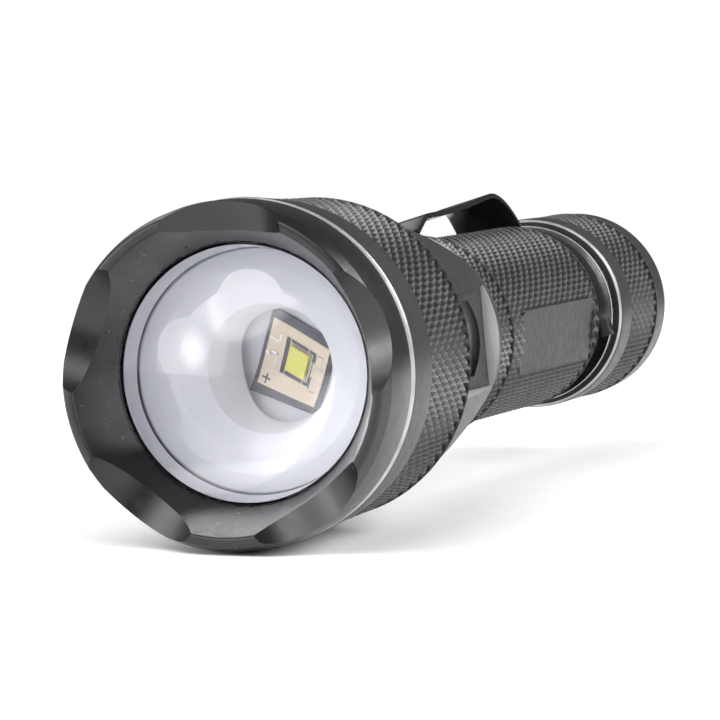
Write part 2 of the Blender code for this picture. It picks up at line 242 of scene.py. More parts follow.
class Knurl:
    """Diamonds in rows round a band. Each is four columns wide and four rows long."""

    def __init__(self, start, end, lowest_radius, pattern):
        self.count, pitch, self.depth = pattern
        self.start, self.end, self.lowest_radius = start, end, lowest_radius
        self.steps = max(1, round((end - start) / (pitch / 4)))
        self.step = (end - start) / self.steps
        self.columns = 4 * self.count

    def rows(self):
        """The band's stations, with a full-height edge at both ends."""
        inner = [self.start + self.step * i for i in range(1, self.steps)]
        return [self.start, self.start + KNURL_EDGE, *inner, self.end - KNURL_EDGE, self.end]

    def inside(self, station, radius):
        """Whether a point is on the band, and not on the bore beneath it."""
        return self.start + 0.01 < station < self.end - 0.01 and radius > self.lowest_radius

    def row_of(self, station, radius):
        """The number of the row that starts at a station, or None outside the band."""
        if not self.inside(station, radius):
            return None
        return math.floor((station - self.start) / self.step + 0.01)

    def depth_at(self, station, radius, column):
        """How deep the knurl is cut here, between two grooves that cross."""
        if not self.inside(station, radius):
            return 0.0
        along = (station - self.start) / self.step
        one = (column + along) % 4
        other = (column - along) % 4
        height = min(one, 4 - one, other, 4 - other)
        return self.depth * (1 - min(1.0, height / KNURL_CROWN))


def object_from(shape, name):
    """An object from a bmesh, which is then freed."""
    mesh = bpy.data.meshes.new(name)
    shape.to_mesh(mesh)
    shape.free()
    made = bpy.data.objects.new(name, mesh)
    bpy.context.scene.collection.objects.link(made)
    return made


def box_mesh(name, low, high, place):
    """A block between two corners in millimetres, put in place by a matrix in metres."""
    low, high = Vector(low) * MM, Vector(high) * MM
    shape = bmesh.new()
    middle = Matrix.Translation((low + high) / 2)
    bmesh.ops.create_cube(shape, size=1.0, matrix=place @ middle @ Matrix.Diagonal((*(high - low), 1.0)))
    return object_from(shape, name)


def rod(name, radius, length, place, segments):
    """A round bar along its matrix's own Z."""
    shape = bmesh.new()
    bmesh.ops.create_cone(
        shape,
        cap_ends=True,
        segments=segments,
        radius1=radius * MM,
        radius2=radius * MM,
        depth=length * MM,
        matrix=place,
    )
    return object_from(shape, name)


def radial(degrees, station):
    """Local X points out from the axis at this angle, Y round it, and Z to the tail."""
    angle = math.radians(degrees)
    out = Vector((math.cos(angle), 0.0, math.sin(angle)))
    back = Vector((0.0, 1.0, 0.0))
    turn = Matrix((out, back.cross(out), back)).transposed().to_4x4()
    return Matrix.Translation(at(station, 0.0, 0.0)) @ turn


def apply_modifiers(piece):
    """The piece's mesh replaced by what its modifiers make of it."""
    graph = bpy.context.evaluated_depsgraph_get()
    graph.update()
    mesh = bpy.data.meshes.new_from_object(piece.evaluated_get(graph))
    piece.modifiers.clear()
    piece.data = mesh


def cut(piece, cutters, operation="DIFFERENCE"):
    """The piece after a boolean with each cutter. The cutters are removed."""
    for cutter in cutters:
        modifier = piece.modifiers.new("cut", "BOOLEAN")
        modifier.operation = operation
        modifier.object = cutter
    apply_modifiers(piece)
    for cutter in cutters:
        bpy.data.objects.remove(cutter, do_unlink=True)
    piece.data.shade_smooth()
    piece.data.set_sharp_from_angle(angle=math.radians(30.0))


def soften_edges(piece, width, angle=28.0):
    """A narrow rounded edge wherever two faces meet at more than this angle."""
    modifier = piece.modifiers.new("edges", "BEVEL")
    modifier.width = width * MM
    modifier.segments = 2
    modifier.limit_method = "ANGLE"
    modifier.angle_limit = math.radians(angle)
    apply_modifiers(piece)
    piece.data.shade_smooth()
    piece.data.set_sharp_from_angle(angle=math.radians(45.0))


def join(pieces, name):
    """One object from several, with their materials."""
    first = pieces[0]
    with bpy.context.temp_override(active_object=first, selected_editable_objects=pieces):
        bpy.ops.object.join()
    first.name = name
    return first


# ---------------------------------------------------------------- materials


class Nodes:
    """A new material's node tree, with its Principled shader."""

    def __init__(self, name):
        self.material = bpy.data.materials.new(name)
        self.material.use_nodes = True
        self.tree = self.material.node_tree
        self.shader = self.tree.nodes["Principled BSDF"]

    def add(self, kind, **values):
        """A new node, with values for its inputs or its own settings."""
        node = self.tree.nodes.new(kind)
        for key, value in values.items():
            if key in node.inputs:
                node.inputs[key].default_value = value
            else:
                setattr(node, key, value)
        return node

    def link(self, output, target):
        self.tree.links.new(output, target)

    def set(self, **values):
        """Values for the shader's own inputs, with _ for each space."""
        for key, value in values.items():
            self.shader.inputs[key.replace("_", " ")].default_value = value

    def noise(self, scale, detail=3.0, stretch=None):
        """Noise over the object's own coordinates, in cells a metre."""
        where = self.add("ShaderNodeTexCoord").outputs["Object"]
        if stretch:
            mapping = self.add("ShaderNodeMapping")
            mapping.inputs["Scale"].default_value = stretch
            self.link(where, mapping.inputs["Vector"])
            where = mapping.outputs["Vector"]
        noise = self.add("ShaderNodeTexNoise", Scale=scale, Detail=detail)
        self.link(where, noise.inputs["Vector"])
        return noise.outputs["Fac"]

    def ramp(self, factor, low, high, stops=(0.35, 0.65), middle=None):
        """Two colours spread over a factor, and maybe a third halfway between them."""
        ramp = self.add("ShaderNodeValToRGB")
        for element, stop, color in zip(ramp.color_ramp.elements, stops, (low, high)):
            element.position = stop
            element.color = (*color, 1.0)
        if middle:
            ramp.color_ramp.elements.new(sum(stops) / 2).color = (*middle, 1.0)
        self.link(factor, ramp.inputs["Fac"])
        return ramp.outputs["Color"]

    def multiply(self, color, other):
        """One colour times another."""
        mix = self.add("ShaderNodeMix", data_type="RGBA", blend_type="MULTIPLY")
        mix.inputs["Factor"].default_value = 1.0
        self.link(color, mix.inputs["A"])
        self.link(other, mix.inputs["B"])
        return mix.outputs["Result"]

    def spread(self, factor, low, high):
        """A factor's middle range, spread from low to high."""
        spread = self.add("ShaderNodeMapRange")
        for key, value in (("From Min", 0.3), ("From Max", 0.7), ("To Min", low), ("To Max", high)):
            spread.inputs[key].default_value = value
        self.link(factor, spread.inputs["Value"])
        return spread.outputs["Result"]

    def bump(self, factor, height, strength=1.0):
        """The surface raised by a factor, by up to this height in millimetres."""
        bump = self.add("ShaderNodeBump", Strength=strength, Distance=height * MM)
        self.link(factor, bump.inputs["Height"])
        self.link(bump.outputs["Normal"], self.shader.inputs["Normal"])


def blasted_metal(name, low, high, roughness, metallic, gloss, depth=0.005, knurled=False):
    """Metal with a fine blasted grain, and broad patches of slightly different tone. When knurled, its
    colour gets painted shade in the knurl's grooves and a painted highlight on its crests.
    """
    made = Nodes(name)
    made.set(Metallic=metallic, Specular_IOR_Level=gloss)
    color = made.ramp(made.noise(160.0), low, high)
    # painted shade in the knurl's grooves and a painted highlight on its crests
    if knurled:
        color = made.multiply(color, knurl_painted_shade_and_highlight(made))
    made.link(color, made.shader.inputs["Base Color"])
    made.link(made.spread(made.noise(900.0), *roughness), made.shader.inputs["Roughness"])
    made.bump(made.noise(4200.0, detail=2.0), depth)
    return made.material


def knurl_painted_shade_and_highlight(made):
    """Painted shade in the grooves of a knurl, and a painted highlight on its crests, set by how sharply
    the surface bends.
    """
    curve = made.add("ShaderNodeNewGeometry").outputs["Pointiness"]
    return made.ramp(curve, (0.08, 0.08, 0.08), (2.4, 2.4, 2.4), (0.46, 0.54), (0.85, 0.85, 0.85))


def turned_metal(name, low, high, roughness, metallic=1.0):
    """Metal with the fine rings that a lathe leaves, which run round the axis."""
    made = Nodes(name)
    made.set(Metallic=metallic)
    rings = made.noise(1.0, detail=4.0, stretch=(60.0, 6000.0, 60.0))
    made.link(made.ramp(rings, low, high), made.shader.inputs["Base Color"])
    made.link(made.spread(rings, *roughness), made.shader.inputs["Roughness"])
    made.bump(rings, 0.004)
    return made.material


def moulded(name, low, high, roughness, grain=2500.0, depth=0.01):
    """Plastic or rubber with a fine moulded grain."""
    made = Nodes(name)
    made.link(made.ramp(made.noise(300.0), low, high), made.shader.inputs["Base Color"])
    made.link(made.spread(made.noise(1200.0), *roughness), made.shader.inputs["Roughness"])
    made.bump(made.noise(grain), depth)
    return made.material


def clear_acrylic():
    """Clear moulded acrylic. The faintest surface wave keeps its reflections from looking drawn."""
    made = Nodes("clear_acrylic")
    made.set(Roughness=0.0, IOR=1.49, Transmission_Weight=1.0, Base_Color=(0.97, 0.975, 1.0, 1.0))
    made.bump(made.noise(60.0, detail=1.0), 0.01, strength=0.25)
    return made.material


def phosphor():
    """Yellow phosphor grains under a clear coat."""
    made = Nodes("phosphor")
    made.set(Coat_Weight=0.6, Coat_Roughness=0.1)
    grains = made.noise(9000.0, detail=2.0)
    made.link(made.ramp(grains, (0.93, 0.90, 0.10), (0.98, 0.96, 0.24)), made.shader.inputs["Base Color"])
    made.link(made.spread(grains, 0.35, 0.6), made.shader.inputs["Roughness"])
    made.bump(grains, 0.01)
    return made.material


ANODISED_TONES = ((0.031, 0.032, 0.034), (0.039, 0.040, 0.042))
ANODISED = blasted_metal("anodised", *ANODISED_TONES, (0.34, 0.44), metallic=0.15, gloss=0.32)
# Knurled anodise with painted shade in the grooves and a painted highlight on the crests
KNURLED_PAINTED_SHADE_AND_HIGHLIGHT = blasted_metal(
    "knurled_anodised_painted_shade_and_highlight", *ANODISED_TONES, (0.34, 0.44), metallic=0.15, gloss=0.32, knurled=True
)
# A darker copy of the anodise for the bezel: painted shade that makes it read darker than the sleeve
BEZEL_PAINTED_SHADE = blasted_metal(
    "bezel_anodised_painted_shade",
    (0.006, 0.006, 0.0064),
    (0.010, 0.010, 0.0104),
    (0.27, 0.35),
    metallic=0.1,
    gloss=0.6,
    depth=0.0,
)
# Near-black painted shade, put on the bezel's inner lip and in the tube's clip groove and collar
PAINTED_SHADE_BLACK = blasted_metal(
    "painted_shade_black", (0.007, 0.007, 0.008), (0.011, 0.011, 0.012), (0.22, 0.32), metallic=0.0, gloss=0.2
)
# A darker, less glossy copy of the anodise for the flat panel: painted shade
PANEL_PAINTED_SHADE = blasted_metal(
    "panel_painted_shade", (0.018, 0.018, 0.019), (0.024, 0.024, 0.025), (0.36, 0.46), metallic=0.1, gloss=0.18
)
BARE = turned_metal("bare_aluminium", (0.6, 0.6, 0.61), (0.7, 0.7, 0.71), (0.3, 0.42), metallic=0.4)
# Light grey for thin chamfers and edges: a painted highlight
PAINTED_HIGHLIGHT_EDGE = blasted_metal(
    "painted_highlight_edge", (0.3, 0.3, 0.3), (0.5, 0.5, 0.5), (0.28, 0.45), metallic=0.4, gloss=0.5
)
BRIGHT_STEEL = turned_metal("bright_steel", (0.5, 0.5, 0.5), (0.62, 0.62, 0.61), (0.18, 0.3))
BLACK_STEEL = blasted_metal(
    "black_steel",
    (0.008, 0.008, 0.009),
    (0.012, 0.012, 0.013),
    (0.16, 0.24),
    metallic=0.0,
    gloss=0.28,
    depth=0.003,
)
BRASS = turned_metal("brass", (0.66, 0.48, 0.22), (0.76, 0.57, 0.29), (0.2, 0.34))
RUBBER = moulded("rubber", (0.012, 0.012, 0.012), (0.022, 0.022, 0.022), (0.5, 0.65))
WHITE = moulded("white_plastic", (0.88, 0.88, 0.92), (0.92, 0.92, 0.95), (0.4, 0.5))
BLACK_PLASTIC = moulded("black_plastic", (0.02, 0.02, 0.02), (0.035, 0.035, 0.035), (0.35, 0.5))
BOARD = moulded("board", (0.02, 0.16, 0.07), (0.03, 0.22, 0.1), (0.25, 0.4), grain=4000.0)
CERAMIC = moulded("ceramic", (0.90, 0.74, 0.54), (0.95, 0.82, 0.64), (0.3, 0.45), grain=8000.0)
CELL_WRAP = moulded("cell_wrap", (0.03, 0.1, 0.3), (0.05, 0.14, 0.36), (0.2, 0.3))
RED_SLEEVE = moulded("red_sleeve", (0.4, 0.015, 0.015), (0.5, 0.02, 0.02), (0.3, 0.45))
TRACE = turned_metal("solder", (0.55, 0.56, 0.58), (0.75, 0.76, 0.78), (0.2, 0.35))
DARK_FILM = moulded("dark_film", (0.06, 0.06, 0.085), (0.11, 0.11, 0.14), (0.25, 0.4))
TEAL_FILM = moulded("teal_film", (0.12, 0.26, 0.28), (0.2, 0.36, 0.37), (0.3, 0.4))
ACRYLIC = clear_acrylic()
PHOSPHOR = phosphor()


def finish(piece, body, slot, material, *nodes):
    """Gives a piece its material and its body, and hides the CAD nodes that it stands for. The slot is not
    used.
    """
    if material:
        piece.data.materials.clear()
        piece.data.materials.append(material)
    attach(piece, body)
    if nodes:
        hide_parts(*nodes)
    return piece


def paint(piece, material, first, last, lowest=0.0, rule=None):
    """Another material on the faces between two stations, outside a radius, that keep to a rule."""
    piece.data.materials.append(material)
    for polygon in piece.data.polygons:
        station = (polygon.center.y - FRONT) / MM
        out = Vector((polygon.center.x, 0.0, polygon.center.z))
        inside = first < station < last and out.length / MM > lowest
        if inside and (rule is None or rule(polygon.normal, out.normalized())):
            polygon.material_index = len(piece.data.materials) - 1


def faces_front(normal, out):
    """A rule for paint: faces that look towards the lens end."""
    return normal.y < -0.9


def faces_axis(normal, out):
    """A rule for paint: faces that look inwards."""
    return normal.dot(out) < -0.2


def faces_panel_way(normal, out):
    """A rule for paint: faces that lie flat, as the panel does."""
    turn = math.radians(PANEL_DEG)
    return normal.dot(Vector((math.cos(turn), 0.0, math.sin(turn)))) > 0.999


# ---------------------------------------------------------------- head


def make_bezel():
    """The crown-shaped front ring. Its scallops are milled by a round cutter that is tilted forwards."""
    outline = [
        (0.0, 19.8),
        (0.25, 20.05),
        (2.0, 20.6),
        (4.5, 20.85),
        (8.4, 20.85),
        (8.7, 20.5),
        (8.7, 18.6),
        (15.2, 18.6),
        (15.2, 16.6),
        (9.2, 16.6),
        (9.2, 15.7),
        (8.0, 15.7),
        (7.6, 15.85),
        (0.25, 18.75),
        (0.0, 18.95),
    ]
    bezel = turned("bezel", fillet(outline, 0.12, steps=2), columns=240)
    cutters = []
    for i in range(SCALLOP_COUNT):
        angle = SCALLOP_FIRST + i * 360 / SCALLOP_COUNT
        lie = Matrix.Rotation(math.radians(90.0 + SCALLOP_TILT), 4, "Y")
        shift = Matrix.Translation((SCALLOP_MIDDLE * MM, 0.0, (SCALLOP_DEPTH - SCALLOP_RADIUS) * MM))
        place = radial(angle, 0.0) @ shift @ lie
        cutters.append(rod(f"scallop_{i}", SCALLOP_RADIUS, SCALLOP_LENGTH, place, 128))
    cut(bezel, cutters)
    # The whole bezel gets the darker copy of the anodise: painted shade
    finish(bezel, "head", "anodised", BEZEL_PAINTED_SHADE, "bezel_ring")
    # Painted shade: the inward faces of the bezel's lip are made near-black, a dark ring beside the lens
    paint(bezel, PAINTED_SHADE_BLACK, *BEZEL_LIP, rule=faces_axis)


def lens_fall(radius):
    """How far the aspheric front has fallen back from its apex at this radius."""
    curve = 1 / LENS_CURVE
    root = math.sqrt(1 - (1 + LENS_CONIC) * curve * curve * radius * radius)
    return curve * radius * radius / (1 + root)


def make_lens():
    """The aspheric lens, clear inside its dome. Its rim and flange are painted white, painted light that
    stands in for the white collar seen through the clear acrylic.
    """
    start, end, radius = span("lens")
    steps = 40
    outline = []
    for i in range(steps + 1):
        reach = LENS_DOME * math.sin(math.pi / 2 * i / steps)
        outline.append((LENS_APEX + lens_fall(reach), reach))
    flange = end - 2.1
    outline += [(flange, LENS_DOME + LENS_STEP), (flange, radius - 0.1), (flange + 0.1, radius)]
    outline += [(end - 0.1, radius), (end, radius - 0.1), (end, 0.0)]
    lens = turned("zoom_lens", outline, columns=160, closed=False, sharp=35.0)
    lens.data.materials.append(ACRYLIC)
    lens.data.materials.append(WHITE)
    # Painted light: the rim and flange of the clear lens are made white
    for polygon in lens.data.polygons:
        reach = math.hypot(polygon.center.x, polygon.center.z) / MM
        polygon.material_index = 1 if reach > LENS_DOME - LENS_STEP else 0
    finish(lens, "head", "clear_acrylic", None, "lens")


def cone_radius(station):
    """The head's cone, which bulges a little."""
    share = (station - CONE_SPAN[0]) / (CONE_SPAN[1] - CONE_SPAN[0])
    straight = CONE_RADII[0] + (CONE_RADII[1] - CONE_RADII[0]) * share
    return straight + CONE_BULGE * 4 * share * (1 - share)


def sleeve_outline(grip):
    """The sleeve's outline: front chamfer, grip and cone outside, then the bore with its steps."""
    outline = [(9.3, 20.5), (9.5, 20.72), (9.75, 20.9), (10.1, 20.94)]
    outline += [(s, 20.45 - 0.5 * (s - grip.start) / (grip.end - grip.start)) for s in grip.rows()]
    cone_steps = 16
    for i in range(cone_steps + 1):
        station = CONE_SPAN[0] + (CONE_SPAN[1] - CONE_SPAN[0]) * i / cone_steps
        outline.append((station, cone_radius(station)))
    outline += [(68.2, 13.5), (68.2, SLEEVE_BORE), (66.2, SLEEVE_BORE), (62.3, 12.5), (58.5, 13.4)]
    outline += [(35.0, 13.4), (35.0, 15.0), (15.7, 15.0), (15.7, 18.9), (9.3, 18.9)]
    return outline


def cut_windows(sleeve):
    """The windows milled through the cone."""
    cutters = []
    for i in range(WINDOW_COUNT):
        place = radial(WINDOW_FIRST + i * 360 / WINDOW_COUNT, 0.0)
        low = (WINDOW_FLOOR, -WINDOW_HALF_WIDTH, WINDOW_SPAN[0])
        high = (WINDOW_FLOOR + WINDOW_HEIGHT, WINDOW_HALF_WIDTH, WINDOW_SPAN[1])
        cutters.append(box_mesh(f"window_{i}", low, high, place))
    cut(sleeve, cutters)


def make_rim(edge):
    """The sleeve's knurled rear rim, with the groove of the slide seal inside."""
    outline = [(68.0, 13.5)]
    outline += [(s, 13.6 - 0.15 * (s - edge.start) / (edge.end - edge.start)) for s in edge.rows()]
    outline += [(74.7, 13.05), (74.7, SLEEVE_BORE), (72.6, SLEEVE_BORE), (72.6, 12.5), (70.6, 12.5)]
    outline += [(70.6, SLEEVE_BORE), (68.0, SLEEVE_BORE)]
    return turned("rim", outline, edge.columns, knurl=edge)


def make_head_sleeve():
    """The sliding head. Its bore and the rear walls of its windows are made bright bare metal, painted
    light that brightens the windows.
    """
    grip = Knurl(17.5, 34.75, 19.0, HEAD_KNURL)
    edge = Knurl(68.3, 74.3, 13.3, RIM_KNURL)
    sleeve = turned("sleeve", sleeve_outline(grip), grip.columns, knurl=grip)
    cut_windows(sleeve)
    rim = make_rim(edge)
    head = finish(join([sleeve, rim], "sleeve"), "head", "anodised", ANODISED, "head_sleeve")
    # The knurl bands get painted shade in their grooves and a painted highlight on their crests
    paint(head, KNURLED_PAINTED_SHADE_AND_HIGHLIGHT, grip.start, grip.end, 18.95)
    paint(head, KNURLED_PAINTED_SHADE_AND_HIGHLIGHT, edge.start, edge.end, 12.7)
    # Painted light: the bore under the cone is made bright bare metal, so that the windows look lit
    paint(head, BARE, CONE_SPAN[0], 66.2, rule=faces_axis)
    # Painted highlight: the sleeve's front chamfer is made light grey
    paint(head, PAINTED_HIGHLIGHT_EDGE, *SLEEVE_CHAMFER, 20.3)
    # Painted highlight: the windows' rear walls are made bright bare metal
    paint(head, BARE, WINDOW_SPAN[1] - 0.1, WINDOW_SPAN[1] + 0.1, rule=faces_front)


def make_ring(node, name, inner, body, slot, material, edge=0.2, columns=128):
    """A plain ring in the place of a CAD ring, with rounded edges."""
    start, end, outer = span(node)
    outline = [(start, outer), (end, outer), (end, inner), (start, inner)]
    ring = turned(name, fillet(outline, edge), columns=columns)
    return finish(ring, body, slot, material, node)


def make_disc(node, name, body, slot, material, edge=0.2):
    """A plain disc in the place of a CAD disc, with rounded edges."""
    start, end, outer = span(node)
    outline = [(start, 0.0), (start, outer), (end, outer), (end, 0.0)]
    disc = turned(name, fillet(outline, edge, closed=False), columns=96, closed=False)
    return finish(disc, body, slot, material, node)


def make_o_ring(node, name, body):
    """A rubber ring with a round section."""
    start, end, outer = span(node)
    half = (end - start) / 2
    sides = 20
    outline = []
    for i in range(sides):
        angle = -2 * math.pi * i / sides
        outline.append(((start + end) / 2 - math.sin(angle) * half, outer - half + math.cos(angle) * half))
    finish(turned(name, outline, columns=128), body, "rubber", RUBBER, node)


# ---------------------------------------------------------------- neck, pill and light source


def make_neck():
    """The bare tube that the head slides on, and the snap ring that stops it."""
    start, end, radius = span("neck_tube")
    stop = span("neck_stop_ring")
    outline = [(start, radius), (stop[0] - 0.3, radius), (stop[0] - 0.3, 10.8), (stop[1] + 0.3, 10.8)]
    outline += [(stop[1] + 0.3, radius), (76.2, radius), (76.2, 10.7), (end, 10.7)]
    outline += [(end, TUBE_BORE), (start, TUBE_BORE)]
    neck = turned("neck", fillet(outline, 0.12), columns=160)
    finish(neck, "body", "bare_aluminium", BARE, "neck_tube")
    ring = make_ring("neck_stop_ring", "stop_ring", 11.1, "body", "spring_steel", BRIGHT_STEEL, 0.15)
    gap = box_mesh("ring_gap", (9.0, -2.0, stop[0] - 1), (15.0, 2.0, stop[1] + 1), radial(-90.0, 0.0))
    cut(ring, [gap])


def led_place(station):
    """Local X and Y run along the light source's sides, and Z towards the front, from this station."""
    angle = math.radians(LED_DEG)
    along = Vector((math.cos(angle), 0.0, math.sin(angle)))
    out = Vector((0.0, -1.0, 0.0))
    turn = Matrix((along, out.cross(along), out)).transposed().to_4x4()
    return Matrix.Translation(at(station, 0.0, 0.0)) @ turn


def chip(name, corners, station, height, material):
    """A small block on the light source, between two corners in its plane, that stands on a station."""
    low, high = corners
    piece = box_mesh(name, (*low, 0.0), (*high, height), led_place(station))
    piece.data.materials.append(material)
    return piece


def make_led():
    """A ceramic square on a dark base, with a broken dark frame, solder marks and a plus sign."""
    first, last, _ = span("led_package")
    half = LED_SIDE / 2
    face = first + 0.1
    base = ((-half, -half), (half, half))
    ceramic = ((-2.85, -2.6), (2.75, 2.35))
    frame_bars = (
        ((-1.48, -1.38), (-1.15, 1.4)),
        ((-1.05, -1.38), (0.7, -1.12)),
        ((0.8, -1.38), (1.45, -1.12)),
        ((-1.05, 1.14), (0.66, 1.4)),
        ((0.76, 1.14), (1.45, 1.4)),
        ((1.2, 0.62), (1.45, 1.14)),
        ((1.2, -1.12), (1.45, -0.62)),
    )
    teal_bars = (
        ((1.25, -0.62), (1.36, 0.62)),
        ((1.45, 0.5), (1.56, 1.3)),
        ((1.45, -1.5), (1.56, -0.55)),
    )
    fine_lines = (
        ((0.99, -1.0), (1.05, 1.0)),
        ((-0.9, 1.0), (1.05, 1.05)),
        ((1.7, 1.3), (2.3, 1.35)),
        ((1.7, -1.62), (2.2, -1.57)),
    )
    solder = (
        ((-2.06, 0.6), (-1.94, 1.42)),
        ((-2.85, 0.56), (-1.94, 0.66)),
        ((-2.87, -0.64), (-2.45, -0.52)),
        ((-2.53, -0.64), (-2.42, -0.36)),
        ((-2.53, -0.42), (-1.9, -0.3)),
        ((-2.02, -1.32), (-1.9, -0.3)),
        ((2.2, -1.6), (2.26, 1.25)),
        ((1.62, 0.28), (2.6, 0.33)),
        ((1.62, -0.72), (2.6, -0.67)),
    )
    plus = (((-2.62, -2.2), (-2.0, -2.1)), ((-2.36, -2.45), (-2.26, -1.86)))
    pieces = [
        chip("led_base", base, last, last - face, DARK_FILM),
        chip("ceramic", ceramic, face, 0.1, CERAMIC),
    ]
    pieces += [chip(f"bar_{i}", box, first, 0.03, DARK_FILM) for i, box in enumerate(frame_bars)]
    pieces += [chip(f"teal_{i}", box, first, 0.035, TEAL_FILM) for i, box in enumerate(teal_bars)]
    pieces += [chip(f"line_{i}", box, first, 0.02, DARK_FILM) for i, box in enumerate(fine_lines)]
    pieces += [chip(f"solder_{i}", box, first, 0.025, TRACE) for i, box in enumerate(solder)]
    pieces += [chip(f"plus_{i}", box, first, 0.02 + 0.002 * i, DARK_FILM) for i, box in enumerate(plus)]
    finish(join(pieces, "light_source"), "body", "led_ceramic", None, "led_package")


def make_die():
    """The square of phosphor that gives the light."""
    front, back, _ = span("led_die")
    half = DIE_SIDE / 2
    square = chip("die", ((-half, -half), (half, half)), back, back - front, PHOSPHOR)
    soften_edges(square, 0.2, angle=60.0)
    finish(square, "body", "phosphor", PHOSPHOR, "led_die")


def make_led_spacer():
    """The white collar that frames the light source."""
    start, end, outer = span("led_spacer")
    outline = [
        (start, 12.3),
        (start + 0.3, outer),
        (end, outer),
        (end, 11.9),
        (17.0, 11.9),
        (17.0, 6.8),
        (19.65, 4.9),
        (19.65, 4.35),
        (19.45, 4.35),
        (17.4, 5.4),
        (16.4, 7.5),
        (start, 10.0),
    ]
    collar = turned("led_collar", fillet(outline, 0.1), sharp=50.0)
    finish(collar, "body", "white_plastic", WHITE, "led_spacer")


def make_star_board():
    """The board under the light source, raised in the middle to meet it."""
    start, end, outer = span("led_board")
    raised = start - 0.4
    outline = [(raised, 0.0), (raised, 7.5), (start, 7.7), (start, outer), (end, outer), (end, 0.0)]
    board = turned("star_board", fillet(outline, 0.08, closed=False), columns=96, closed=False)
    finish(board, "body", "bare_aluminium", WHITE, "led_board")


def make_lens_seat():
    """The ring behind the lens, with a lip that reaches inwards."""
    start, end, outer = span("lens_seat_ring")
    outline = [(start, outer), (end, outer), (end, 12.9)]
    outline += [(end - 0.5, 12.9), (end - 0.6, 15.0), (start, 15.2)]
    seat = turned("lens_seat", fillet(outline, 0.15))
    finish(seat, "head", "white_plastic", WHITE, "lens_seat_ring")


def make_pill():
    """The brass heat sink, hollow at the back, with two holes for the lead wires."""
    start, end, outer = span("pill")
    outline = [(start, 0.0), (start, outer), (25.7, outer), (25.7, 9.4), (end, 9.4), (end, 8.8)]
    outline += [(46.8, 8.8), (46.8, 8.0), (28.0, 8.0), (28.0, 0.0)]
    pill = turned("heat_sink", fillet(outline, 0.2, closed=False), columns=96, closed=False)
    cutters = []
    for degrees in (0.0, 180.0):
        place = radial(degrees, 24.0) @ Matrix.Translation((6.9 * MM, 0.0, 0.0))
        cutters.append(rod("wire_hole", 0.9, 12.0, place, 32))
    cut(pill, cutters)
    finish(pill, "body", "brass", BRASS, "pill")


def make_inner_parts():
    """The parts that hold the light source and the cell, and stay inside."""
    make_star_board()
    make_disc("driver_board", "driver", "body", "circuit_board", BOARD, 0.05)
    make_disc("battery_cell", "cell", "body", "cell_wrap", CELL_WRAP, 0.6)
    make_disc("battery_terminal", "cell_contact", "body", "spring_steel", BRIGHT_STEEL, 0.15)
    make_disc("switch_plate", "switch_board", "tail_cap", "circuit_board", BOARD, 0.05)
    make_lens_seat()
    make_o_ring("front_o_ring", "front_seal", "head")
    make_o_ring("slide_o_ring", "slide_seal", "slide_ring")
    make_o_ring("tail_o_ring", "tail_seal", "body")
    make_pill()


def carry_over(materials):
    """CAD pieces that are shown as they are, each with its own finish."""
    for node, material in materials.items():
        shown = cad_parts[node]
        shown.data.materials.clear()
        shown.data.materials.append(material)
        for polygon in shown.data.polygons:
            polygon.material_index = 0
            polygon.use_smooth = True
        shown.data.set_sharp_from_angle(angle=math.radians(40.0))


# ---------------------------------------------------------------- battery tube and clip


def rounded_plate(name, half_length, half_width, corner, thickness, place, arc_steps=8):
    """A flat plate with round corners. Its length runs along local Z, and its thickness along local X."""
    outline = []
    for quarter in range(4):
        along = 1 if quarter in (0, 3) else -1
        across = 1 if quarter in (0, 1) else -1
        for i in range(arc_steps + 1):
            angle = math.pi / 2 * (quarter + i / arc_steps)
            z = along * (half_length - corner) + corner * math.cos(angle)
            y = across * (half_width - corner) + corner * math.sin(angle)
            outline.append((y * MM, z * MM))
    count = len(outline)
    points = [place @ Vector((0.0, y, z)) for y, z in outline]
    points += [place @ Vector((thickness * MM, y, z)) for y, z in outline]
    faces = [list(range(count)), list(range(2 * count - 1, count - 1, -1))]
    for i in range(count):
        after = (i + 1) % count
        faces.append([i, after, after + count, i + count])
    return mesh_object(name, points, faces)


def tube_outline(grip, start, end, radius):
    """The tube's outline: knurl, clip groove, collar and thread outside, then the bore."""
    outline = [(start, 12.2), (start + 0.2, 12.45)]
    outline += [(s, radius) for s in grip.rows()]
    outline += [(117.6, 12.5), (117.8, 12.25), (117.8, 11.2), (124.9, 11.2), (124.9, 12.28)]
    outline += [(125.02, 12.4), (126.2, 12.4), (126.3, 12.3), (126.3, THREAD), (127.4, THREAD)]
    outline += [(127.4, 10.5), (129.4, 10.5), (129.4, THREAD), (133.2, THREAD), (end, 11.0)]
    outline += [(end, TUBE_BORE), (86.8, TUBE_BORE), (86.8, 11.0), (start, 11.0)]
    return outline


def add_panel(tube):
    """The blank panel: the knurl is cut away, and a flat plate takes its place."""
    half_length = (PANEL_SPAN[1] - PANEL_SPAN[0]) / 2
    place = radial(PANEL_DEG, PANEL_SPAN[0] + half_length) @ Matrix.Translation((PANEL_FLAT * MM, 0.0, 0.0))
    cut(tube, [rounded_plate("panel_cutter", half_length, PANEL_HALF_WIDTH, PANEL_CORNER, 4.0, place)])
    plate_place = place @ Matrix.Translation((-1.0 * MM, 0.0, 0.0))
    plate = rounded_plate("panel", half_length, PANEL_HALF_WIDTH, PANEL_CORNER, 1.02, plate_place)
    cut(tube, [plate], "UNION")


